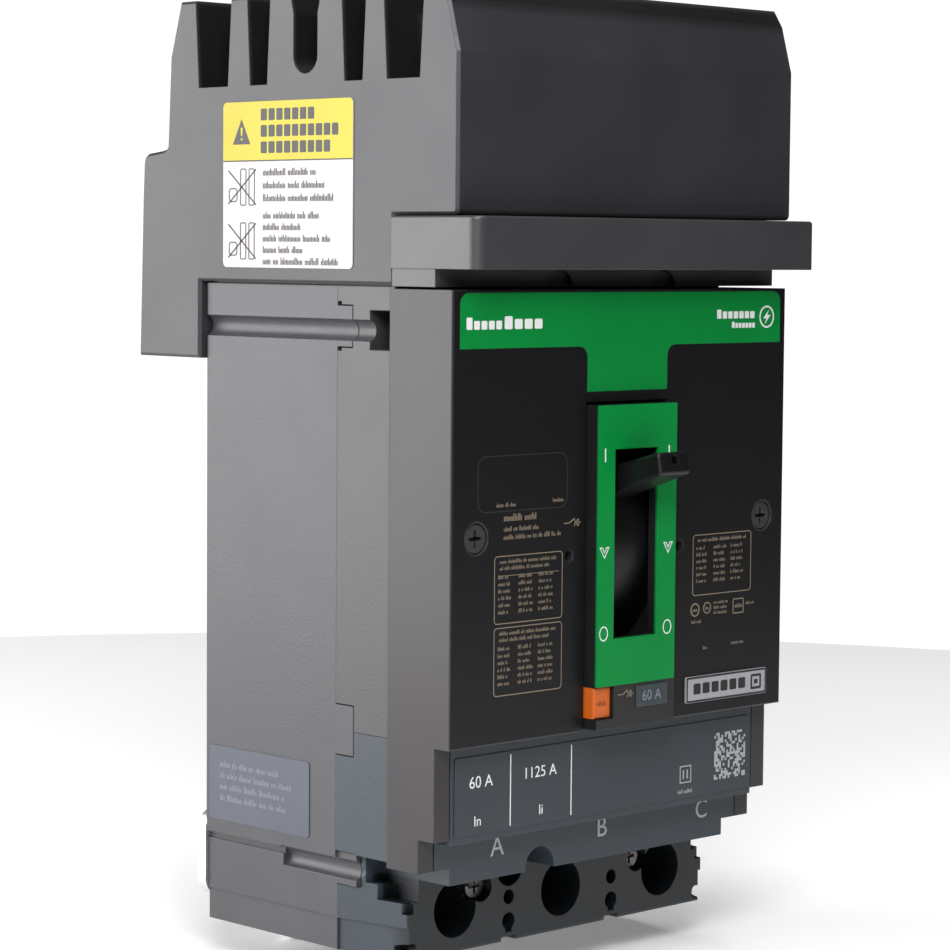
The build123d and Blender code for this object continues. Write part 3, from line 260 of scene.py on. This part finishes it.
plate_green = plastic("plate_green", (0.001, 0.215, 0.040), roughness=0.36, relief=0.000005, mottle=0.05,
                      wear=1.25, specular=0.2)
film_white = printed_film("film_white", (0.49, 0.465, 0.485), roughness=0.4, specular=0.2)
plate_white = printed_film("plate_white", (0.33, 0.335, 0.36), roughness=0.4)
film_yellow = printed_film("film_yellow", (0.46, 0.385, 0.042), roughness=0.4, specular=0.2)
film_silver = printed_film("film_silver", (0.078, 0.086, 0.110), roughness=0.32, specular=0.35)
zinc = metal("zinc", (0.66, 0.67, 0.66))
pale_zinc = metal("pale_zinc", (0.72, 0.74, 0.76), roughness=0.42, stain=0.08)
dark_steel = metal("dark_steel", (0.17, 0.16, 0.155), roughness=0.38)
copper = metal("copper", (0.70, 0.36, 0.22), roughness=0.32)
silver = metal("silver", (0.80, 0.79, 0.76), roughness=0.26, stain=0.3)
tinned = metal("tinned", (0.70, 0.70, 0.69), roughness=0.30)
spring_wire = metal("spring_wire", (0.50, 0.50, 0.52), roughness=0.24, stretch=(4.0, 4.0, 4.0))
bimetal_strip = metal("bimetal_strip", (0.50, 0.46, 0.40), roughness=0.30)
lug_metal = metal("lug_metal", (0.74, 0.75, 0.76), roughness=0.28, stretch=(9.0, 1.0, 1.0))
board = fibre("board", (0.30, 0.21, 0.12))
ink_white = printed_film("ink_white", (0.80, 0.80, 0.80), roughness=0.45, mottle=0.03)
ink_grey = printed_film("ink_grey", (0.40, 0.42, 0.44), roughness=0.45)
ink_tan = printed_film("ink_tan", (0.24, 0.19, 0.135), roughness=0.45)
# painted sheen for the outline of a recess on the front film, not ink
painted_recess_sheen = printed_film("painted_recess_sheen", (0.016, 0.015, 0.014), roughness=0.5)
ink_slate = printed_film("ink_slate", (0.20, 0.21, 0.26), roughness=0.45)
ink_dark = printed_film("ink_dark", (0.012, 0.012, 0.014), roughness=0.45)
ink_rust = printed_film("ink_rust", (0.20, 0.035, 0.008), roughness=0.45)

finishes = {
    body_grey: ("base",),
    cover_grey: ("cover",),
    front_grey: ("accessory_cover",),
    trip_blue: ("trip_unit_housing",),
    hood_grey: ("jaw_housing", "jaw_housing_rear"),
    shield_grey: ("line_shield",),
    frame_black: ("escutcheon",),
    handle_black: ("toggle_handle",),
    button_orange: ("trip_button",),
    plug_grey: ("rating_plug",),
    shaft_red: ("crossbar", "trip_bar"),
    screw_dark: ("quarter_turn_screw_left", "quarter_turn_screw_right"),
    film_black: ("front_label",),
    film_panel: ("trip_unit_label",),
    film_green: ("header_label",),
    plate_green: ("toggle_plate",),
    film_white: ("caution_label",),
    plate_white: ("name_plate",),
    film_silver: ("side_label",),
    zinc: ("handle_pin", "handle_crank_pin", "mechanism_frame", "frame_spacers", "drive_links",
           "crossbar_cranks", "crossbar_crank_pins", "arc_plates_upper", "arc_plates_lower",
           "magnet_yokes", "armatures", "lug_screws", "cover_screws", "jaw_housing_screws",
           "bracket_screws"),
    pale_zinc: ("mounting_bracket",),
    dark_steel: ("trip_unit_screws",),
    copper: ("contact_arms", "line_contacts", "load_contacts", "line_conductors", "heater_straps"),
    silver: ("moving_tips", "fixed_tips"),
    tinned: ("bus_jaws",),
    spring_wire: ("jaw_springs", "trip_button_spring"),
    bimetal_strip: ("bimetals",),
    lug_metal: ("lugs",),
    board: ("arc_cheeks",),
}
for material, names in finishes.items():
    for name in names:
        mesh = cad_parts[name].data
        mesh.materials.clear()
        mesh.materials.append(material)


# ---- outlines, in millimetres on a face ----
def rect(left, low, right, high):
    return [(left, low), (right, low), (right, high), (left, high)]


def rounded(left, low, right, high, corner, steps=6):
    points = []
    for u, v, start in ((right - corner, high - corner, 0), (left + corner, high - corner, 90),
                        (left + corner, low + corner, 180), (right - corner, low + corner, 270)):
        for step in range(steps + 1):
            angle = math.radians(start + 90 * step / steps)
            points.append((u + corner * math.cos(angle), v + corner * math.sin(angle)))
    return points


def oval(u, v, half_u, half_v, steps=40):
    turns = [2 * math.pi * step / steps for step in range(steps)]
    return [(u + half_u * math.cos(turn), v + half_v * math.sin(turn)) for turn in turns]


def border(left, low, right, high, corner, line):
    """A rounded frame line: an outer and an inner loop."""
    inner = max(corner - line, 0.05)
    return [rounded(left, low, right, high, corner),
            rounded(left + line, low + line, right - line, high - line, inner)]


def stroke(start, end, width):
    """A straight line of a given width between two points."""
    along = (Vector(end) - Vector(start)).normalized() * width / 2
    across = Vector((-along.y, along.x))
    corners = (Vector(start) - across, Vector(end) - across, Vector(end) + across, Vector(start) + across)
    return [tuple(corner) for corner in corners]


def words(left, right, base, height, letters=(2, 8)):
    """A line of small print as word-long rows of plain strokes, not letters."""
    loops = []
    u = left
    while u < right - height * 0.6:
        for _ in range(rng.randint(*letters)):
            for _ in range(2):
                tall = height * rng.choice((0.62, 0.62, 0.72, 1.0))
                loops.append(rect(u, base, u + height * 0.15, base + tall))
                u += height * 0.30
            if u > right - height * 0.3:
                break
        u += height * 0.45
    return loops


def blocks(left, right, base, height, count, low_share=1.0):
    """A large word as a row of plain blocks, one for each letter."""
    pitch = (right - left) / count
    loops = []
    for number in range(count):
        tall = height if number == 0 else height * low_share
        loops.append(rounded(left + number * pitch, base, left + (number + 0.78) * pitch, base + tall,
                             pitch * 0.12, 3))
    return loops


class Face:
    """A flat face that print lies on, for one ink and one body."""

    def __init__(self, name, body, ink, slot, place):
        self.name, self.body, self.ink, self.slot, self.place = name, body, ink, slot, place
        self.meshes = []

    def _keep(self, curve):
        source = bpy.data.objects.new(self.name + "_outline", curve)
        self.meshes.append(bpy.data.meshes.new_from_object(source))
        bpy.data.objects.remove(source)

    def draw(self, *loops):
        """Closed outlines, filled; a loop inside another is a hole."""
        curve = bpy.data.curves.new(self.name, "CURVE")
        curve.dimensions = "2D"
        curve.fill_mode = "BOTH"
        curve.extrude = INK / 2
        for loop in loops:
            spline = curve.splines.new("POLY")
            spline.points.add(len(loop) - 1)
            for point, (u, v) in zip(spline.points, loop):
                point.co = (u, v, 0.0, 1.0)
            spline.use_cyclic_u = True
        self._keep(curve)
        return self

    def write(self, text, u, v, height):
        """A rating number or a plain sign, centred at u, v and as tall as given."""
        curve = bpy.data.curves.new(self.name, "FONT")
        curve.body = text
        curve.extrude = INK / 2
        curve.size = height * 1.4
        self._keep(curve)
        mesh = self.meshes[-1]
        low = [min(vertex.co[axis] for vertex in mesh.vertices) for axis in (0, 1)]
        high = [max(vertex.co[axis] for vertex in mesh.vertices) for axis in (0, 1)]
        scale = height / (high[1] - low[1])
        fit = Matrix.Diagonal((scale, scale, 1.0, 1.0))
        middle = Vector(((low[0] + high[0]) / 2, (low[1] + high[1]) / 2, 0.0)) * scale
        mesh.transform(Matrix.Translation(Vector((u, v, 0.0)) - middle) @ fit)
        return self

    def lay(self):
        """Joins the print into one piece on its face."""
        points, faces = [], []
        for mesh in self.meshes:
            first = len(points)
            points.extend(vertex.co.copy() for vertex in mesh.vertices)
            faces.extend([first + index for index in face.vertices] for face in mesh.polygons)
            bpy.data.meshes.remove(mesh)
        mesh = bpy.data.meshes.new(self.name)
        mesh.from_pydata(points, [], faces)
        mesh.transform(self.place @ Matrix.Scale(MM, 4) @ Matrix.Translation((0, 0, INK * 0.6)))
        mesh.materials.append(self.ink)
        piece = bpy.data.objects.new(self.name, mesh)
        bpy.context.scene.collection.objects.link(piece)
        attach(piece, self.body)
        return piece


def facing_front(node):
    """The plane of a node's front face: u to the right, v up, out towards -Y."""
    return Matrix(((1, 0, 0, 0), (0, 0, -1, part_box(node)[0][1]), (0, 1, 0, 0), (0, 0, 0, 1)))


def facing_left(node):
    """The plane of a node's left face: u towards the front, v up, out towards -X."""
    return Matrix(((0, 0, -1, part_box(node)[0][0]), (-1, 0, 0, 0), (0, 1, 0, 0), (0, 0, 0, 1)))


# ---- print on the front film, and painted sheen along a recess outline ----
front = facing_front("front_label")
# painted sheen: pale lines mark the outline of a shallow recess, standing in for the light caught along its
# edge
Face("recess_outline", "accessory", painted_recess_sheen, "black_film", front).draw(
    *border(-44.7, 14.3, -18.2, 26.0, 2.4, 0.22)).lay()

ratings = Face("rating_print", "accessory", ink_tan, "black_film", front)
ratings.draw(*words(-39.2, -32.6, 15.3, 0.9), *words(-22.6, -19.4, 15.6, 0.9))
ratings.draw(*words(-37.0, -26.4, 12.3, 1.5))
ratings.draw(*words(-37.0, -26.8, 10.2, 1.0))
ratings.draw(*words(-37.0, -20.2, 8.5, 1.0))


def breaker_symbol(face, left, middle, size):
    """The circuit diagram sign of a breaker: two leads, a blade and a cross."""
    line = 0.22
    face.draw(stroke((left, middle), (left + size, middle), line))
    face.draw(stroke((left + size, middle), (left + 2 * size, middle + 0.6 * size), line))
    face.draw(stroke((left + 2 * size, middle), (left + 3.2 * size, middle), line))
    for rise in (-0.45, 0.45):
        face.draw(stroke((left + 1.9 * size, middle - rise * size), (left + 2.6 * size, middle + rise * size),
                         line))
    bar = left + 2.75 * size
    face.draw(stroke((bar, middle - 0.5 * size), (bar, middle + 0.5 * size), line))


breaker_symbol(ratings, -19.2, 10.9, 1.6)


def rating_table(face, left, low, right, high, rows, columns, header):
    """A framed table of small figures under a ruled header."""
    face.draw(*border(left, low, right, high, 0.9, 0.2))
    line = 1.35
    top = high - 0.7
    for number in range(header):
        face.draw(*words(left + 1.6, right - 1.8 - 2.0 * (number % 2), top - 0.95 - number * line, 0.85))
    for row in range(rows):
        base = top - 1.2 - (header + row) * line * 1.08
        width = (right - left - 2.4) / columns
        for column in range(columns):
            start = left + 1.2 + column * width
            face.draw(*words(start, start + width * (0.72 if column else 0.62), base, 0.85, (1, 4)))


rating_table(ratings, -39.7, -9.0, -19.5, 5.2, 6, 3, 2)
ratings.draw(rect(-38.6, 0.95, -20.6, 1.08))
rating_table(ratings, -39.7, -24.0, -19.5, -9.7, 6, 3, 2)
rating_table(ratings, 21.6, -7.5, 41.2, 6.0, 6, 3, 1)
ratings.draw(oval(22.6, -10.6, 1.5, 1.5), oval(22.6, -10.6, 1.2, 1.2)).draw(*words(21.8, 23.6, -11.0, 0.9))
ratings.draw(oval(26.6, -10.4, 1.3, 1.3), oval(26.6, -10.4, 1.05, 1.05)).draw(*words(25.9, 27.4, -10.8, 0.8))
for number in range(3):
    ratings.draw(*words(28.8, 33.4, -9.7 - 1.15 * number, 0.75))
ratings.draw(*border(35.2, -12.4, 38.9, -9.0, 0.3, 0.25)).draw(*words(35.9, 38.4, -11.1, 0.9))
ratings.draw(*words(39.6, 42.6, -10.6, 0.7))
ratings.draw(*words(25.4, 26.6, -19.6, 0.8), *words(34.8, 39.4, -19.2, 0.8))
ratings.draw(*words(21.4, 24.6, -13.6, 0.8))
ratings.lay()

# ---- header: plain blocks and a plain sign in place of names ----
header = Face("header_print", "accessory", ink_white, "white_film", facing_front("header_label"))
header.draw(*blocks(-48.2, -37.6, 51.9, 2.5, 5, 0.72))
header.draw(*blocks(-37.3, -25.6, 51.9, 2.7, 4, 0.78))
header.draw(oval(45.4, 53.7, 2.5, 2.5), oval(45.4, 53.7, 2.1, 2.1))
header.draw([(46.1, 55.3), (44.2, 53.3), (45.3, 53.3), (44.7, 52.0), (46.7, 54.1), (45.6, 54.1)])
header.draw(*blocks(28.6, 41.6, 53.4, 2.0, 7, 0.8))
header.draw(*blocks(33.6, 41.6, 51.3, 1.4, 7, 0.8))
header.lay()

# ---- name plate: a dark edge and a plain sign ----
plate = Face("name_plate_print", "accessory", ink_dark, "black_film", facing_front("name_plate"))
low, high = (Vector(corner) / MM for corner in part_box("name_plate"))
plate.draw(*border(low.x + 0.1, low.z + 0.1, high.x - 0.1, high.z - 0.1, 0.3, 0.42))
plate.draw(*blocks(low.x + 2.4, high.x - 6.6, low.z + 1.8, 2.4, 6))
plate.draw(*border(high.x - 5.4, low.z + 1.2, high.x - 1.8, high.z - 1.2, 0.4, 0.55))
plate.draw(rect(high.x - 4.2, low.z + 2.4, high.x - 3.0, high.z - 2.4))
plate.lay()

# ---- toggle plate: on, trip and off signs ----
signs = Face("toggle_print", "frame", ink_white, "white_film", facing_front("toggle_plate"))
for u in (-10.3, 9.7):
    signs.draw(rect(u - 0.19, 23.6, u + 0.19, 26.5))
    signs.draw([(u - 1.55, 5.55), (u - 0.55, 5.55), (u, 4.6), (u + 0.55, 5.55), (u + 1.55, 5.55), (u, 3.05)],
               [(u - 1.17, 5.33), (u - 0.67, 5.33), (u, 4.18), (u + 0.67, 5.33), (u + 1.17, 5.33), (u, 3.44)])
    signs.draw(oval(u, -12.9, 1.35, 1.6), oval(u, -12.9, 1.08, 1.33))
signs.lay()

button = Face("button_print", "button", ink_rust, "orange_plastic", facing_front("trip_button"))
button.draw(*words(-11.2, -7.9, -28.4, 1.2, (4, 4)))
button.lay()

frame_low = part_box("escutcheon")[0]
bar_face = Matrix(((1, 0, 0, 0), (0, 0, -1, frame_low[1]), (0, 1, 0, 0), (0, 0, 0, 1)))
small_sign = Face("breaker_sign", "frame", ink_tan, "black_film", bar_face)
breaker_symbol(small_sign, -5.6, -26.4, 1.5)
small_sign.lay()

plug = Face("plug_print", "frame", ink_slate, "grey_film", facing_front("rating_plug"))
plug.write("60 A", 4.9, -27.2, 2.2)
plug.lay()

# ---- trip unit panel ----
panel = Face("panel_print", "frame", ink_white, "white_film", facing_front("trip_unit_label"))
panel.draw(rect(-30.15, -52.6, -29.85, -37.4)).draw(rect(-11.75, -52.6, -11.45, -37.4))
panel.write("60 A", -38.6, -42.2, 2.5)
panel.write("In", -39.6, -50.4, 2.1)
panel.write("1125 A", -20.8, -42.0, 2.4)
panel.write("Ii", -20.8, -50.2, 2.1)
panel.lay()

panel_grey = Face("panel_marks", "frame", ink_grey, "grey_film", facing_front("trip_unit_label"))
panel_grey.draw(*border(23.2, -49.9, 27.0, -46.0, 0.2, 0.26))
panel_grey.draw(rect(24.2, -49.0, 24.6, -47.0)).draw(rect(25.5, -49.0, 25.9, -47.0))
panel_grey.draw(*words(22.7, 27.4, -52.2, 0.9))
CODE_CELLS = 18
code_left, code_low, code_size = 34.7, -50.4, 10.6
cell = code_size / CODE_CELLS
code = []
for row in range(CODE_CELLS):
    for column in range(CODE_CELLS):
        if rng.random() < 0.52:
            u, v = code_left + column * cell, code_low + row * cell
            code.append(rect(u + 0.01, v + 0.01, u + cell - 0.01, v + cell - 0.01))
panel_grey.draw(*code)
panel_grey.lay()

# ---- pole letters on the ledge ----
ledge = Matrix(((1, 0, 0, 0), (0, 0, -1, -0.0709), (0, 1, 0, 0), (0, 0, 0, 1)))
letters = Face("pole_letters", "frame", ink_grey, "grey_film", ledge)
for text, u in (("A", -28.9), ("B", 3.5), ("C", 36.1)):
    letters.write(text, u, -57.7, 4.2)
letters.lay()

# ---- side sticker: coloured header, plain sign, rows of strokes ----
sticker_low, sticker_high = (Vector(corner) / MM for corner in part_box("caution_label"))
rear, fore = -sticker_high.y, -sticker_low.y
left_face = facing_left("caution_label")
header_low = 86.9
yellow = rounded(rear, header_low, fore, sticker_high.z, 1.2)
yellow = yellow[:len(yellow) // 2] + [(rear, header_low), (fore, header_low)]
Face("sticker_header", "frame", film_yellow, "white_film", left_face).draw(yellow).lay()
over_header = Matrix.Translation((-INK * MM, 0, 0)) @ left_face
sticker = Face("sticker_print", "frame", ink_dark, "black_film", over_header)
sticker.draw(rect(rear, header_low - 0.2, fore, header_low + 0.05))
for number, (count, base) in enumerate(((7, 95.4), (10, 91.9), (9, 88.4))):
    sticker.draw(*blocks(rear + 12.6, rear + 12.6 + 2.55 * count, base, 2.5, count))
peak = rear + 6.2
sticker.draw([(peak - 2.9, 90.4), (peak + 2.9, 90.4), (peak, 95.8)],
             [(peak - 0.25, 92.2), (peak + 0.25, 92.2), (peak + 0.4, 94.0), (peak - 0.4, 94.0)],
             oval(peak, 91.5, 0.32, 0.32, 12))
text_left = rear + 13.4
for number, length in enumerate((17.0, 20.5, 24.0)):
    sticker.draw(*words(text_left, text_left + length, 83.6 - 2.75 * number, 1.55))
for number, length in enumerate((18.0, 13.5, 21.5, 13.5, 25.5)):
    sticker.draw(*words(text_left, text_left + length, 74.4 - 2.45 * number, 1.5))


def crossed_jaw(face, u, v):
    """A plain crossed-out outline of a jaw."""
    face.draw(*border(u - 0.6, v - 4.0, u + 1.4, v + 4.0, 0.5, 0.22))
    face.draw(*border(u + 2.2, v - 4.0, u + 4.2, v + 4.0, 0.5, 0.22))
    face.draw(stroke((u - 4.6, v - 3.6), (u + 4.6, v + 3.8), 0.3))
    face.draw(stroke((u - 4.6, v + 3.6), (u + 4.6, v - 3.8), 0.3))
    face.draw(*border(u - 4.4, v - 3.2, u - 1.6, v - 0.2, 0.8, 0.22))


crossed_jaw(sticker, rear + 6.4, 81.2)
crossed_jaw(sticker, rear + 6.4, 69.6)
sticker.lay()

note_high = Vector(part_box("side_label")[1]) / MM
note = Face("side_label_print", "frame", ink_slate, "grey_film", facing_left("side_label"))
for number, length in enumerate((20.0, 24.5, 22.0, 22.5)):
    note.draw(*words(-note_high.y + 3.6, -note_high.y + 3.6 + length, note_high.z - 4.6 - 2.5 * number, 1.45))
note.lay()

# ---- floor, light and camera ----
FLOOR_RADIUS = 0.55
bpy.ops.mesh.primitive_circle_add(vertices=96, radius=FLOOR_RADIUS, fill_type="NGON",
                                  location=(0, 0, cad_box[0][2] - 0.0002))
floor = bpy.context.active_object
floor.name = "floor"
pale = Nodes("pale_floor")
pale.link(pale.mix(pale.noise(6.0), (0.93, 0.93, 0.93), (0.96, 0.96, 0.96)), pale.shader.inputs["Base Color"])
pale.shader.inputs["Roughness"].default_value = 0.9
pale.shader.inputs["Emission Color"].default_value = (1.0, 1.0, 1.0, 1.0)
pale.shader.inputs["Emission Strength"].default_value = 0.20
floor.data.materials.append(pale.material)


def softbox(name, place, aim, width, height, power):
    data = bpy.data.lights.new(name, "AREA")
    data.shape = "RECTANGLE"
    data.size, data.size_y = width, height
    data.energy = power
    lamp = bpy.data.objects.new(name, data)
    lamp.location = place
    lamp.rotation_euler = (Vector(aim) - Vector(place)).to_track_quat("-Z", "Y").to_euler()
    bpy.context.scene.collection.objects.link(lamp)


softbox("left_rear_box", (-1.15, 0.95, 0.20), (0.0, -0.03, 0.0), 1.5, 1.6, 42.0)
softbox("front_box", (-0.40, -0.42, 0.36), (0.0, -0.05, 0.03), 0.26, 0.26, 3.4)
softbox("top_box", (0.0, -0.35, 1.3), (0.0, 0.0, 0.0), 0.8, 0.8, 10.0)

world = bpy.data.worlds.new("studio")
bpy.context.scene.world = world
world.use_nodes = True
tree = world.node_tree
room = tree.nodes["Background"]
room.inputs["Color"].default_value = (1.0, 1.0, 1.0, 1.0)
room.inputs["Strength"].default_value = 0.05
backdrop = tree.nodes.new("ShaderNodeBackground")
backdrop.inputs["Color"].default_value = (1.0, 1.0, 1.0, 1.0)
backdrop.inputs["Strength"].default_value = 1.05
seen = tree.nodes.new("ShaderNodeLightPath")
either = tree.nodes.new("ShaderNodeMixShader")
tree.links.new(seen.outputs["Is Camera Ray"], either.inputs["Fac"])
tree.links.new(room.outputs["Background"], either.inputs[1])
tree.links.new(backdrop.outputs["Background"], either.inputs[2])
tree.links.new(either.outputs["Shader"], tree.nodes["World Output"].inputs["Surface"])
bpy.context.scene.view_settings.view_transform = "Standard"

CAMERA_PLACE = (-0.4837, -0.5287, 0.0685)
CAMERA_YAW, CAMERA_PITCH, CAMERA_ROLL = 44.337, -4.213, 0.471
SENSOR_WIDTH, FOCAL_LENGTH = 36.0, 116.8
yaw, pitch, roll = (math.radians(angle) for angle in (CAMERA_YAW, CAMERA_PITCH, CAMERA_ROLL))
ahead = Vector((math.sin(yaw) * math.cos(pitch), math.cos(yaw) * math.cos(pitch), math.sin(pitch)))
level = Vector((math.cos(yaw), -math.sin(yaw), 0.0))
upright = level.cross(ahead)
right = math.cos(roll) * level + math.sin(roll) * upright
up = math.cos(roll) * upright - math.sin(roll) * level
lens = bpy.data.cameras.new("camera")
lens.sensor_width = SENSOR_WIDTH
lens.lens = FOCAL_LENGTH
camera = bpy.data.objects.new("camera", lens)
camera.matrix_world = Matrix.Translation(CAMERA_PLACE) @ Matrix((right, up, -ahead)).transposed().to_4x4()
bpy.context.scene.collection.objects.link(camera)
bpy.context.scene.camera = camera
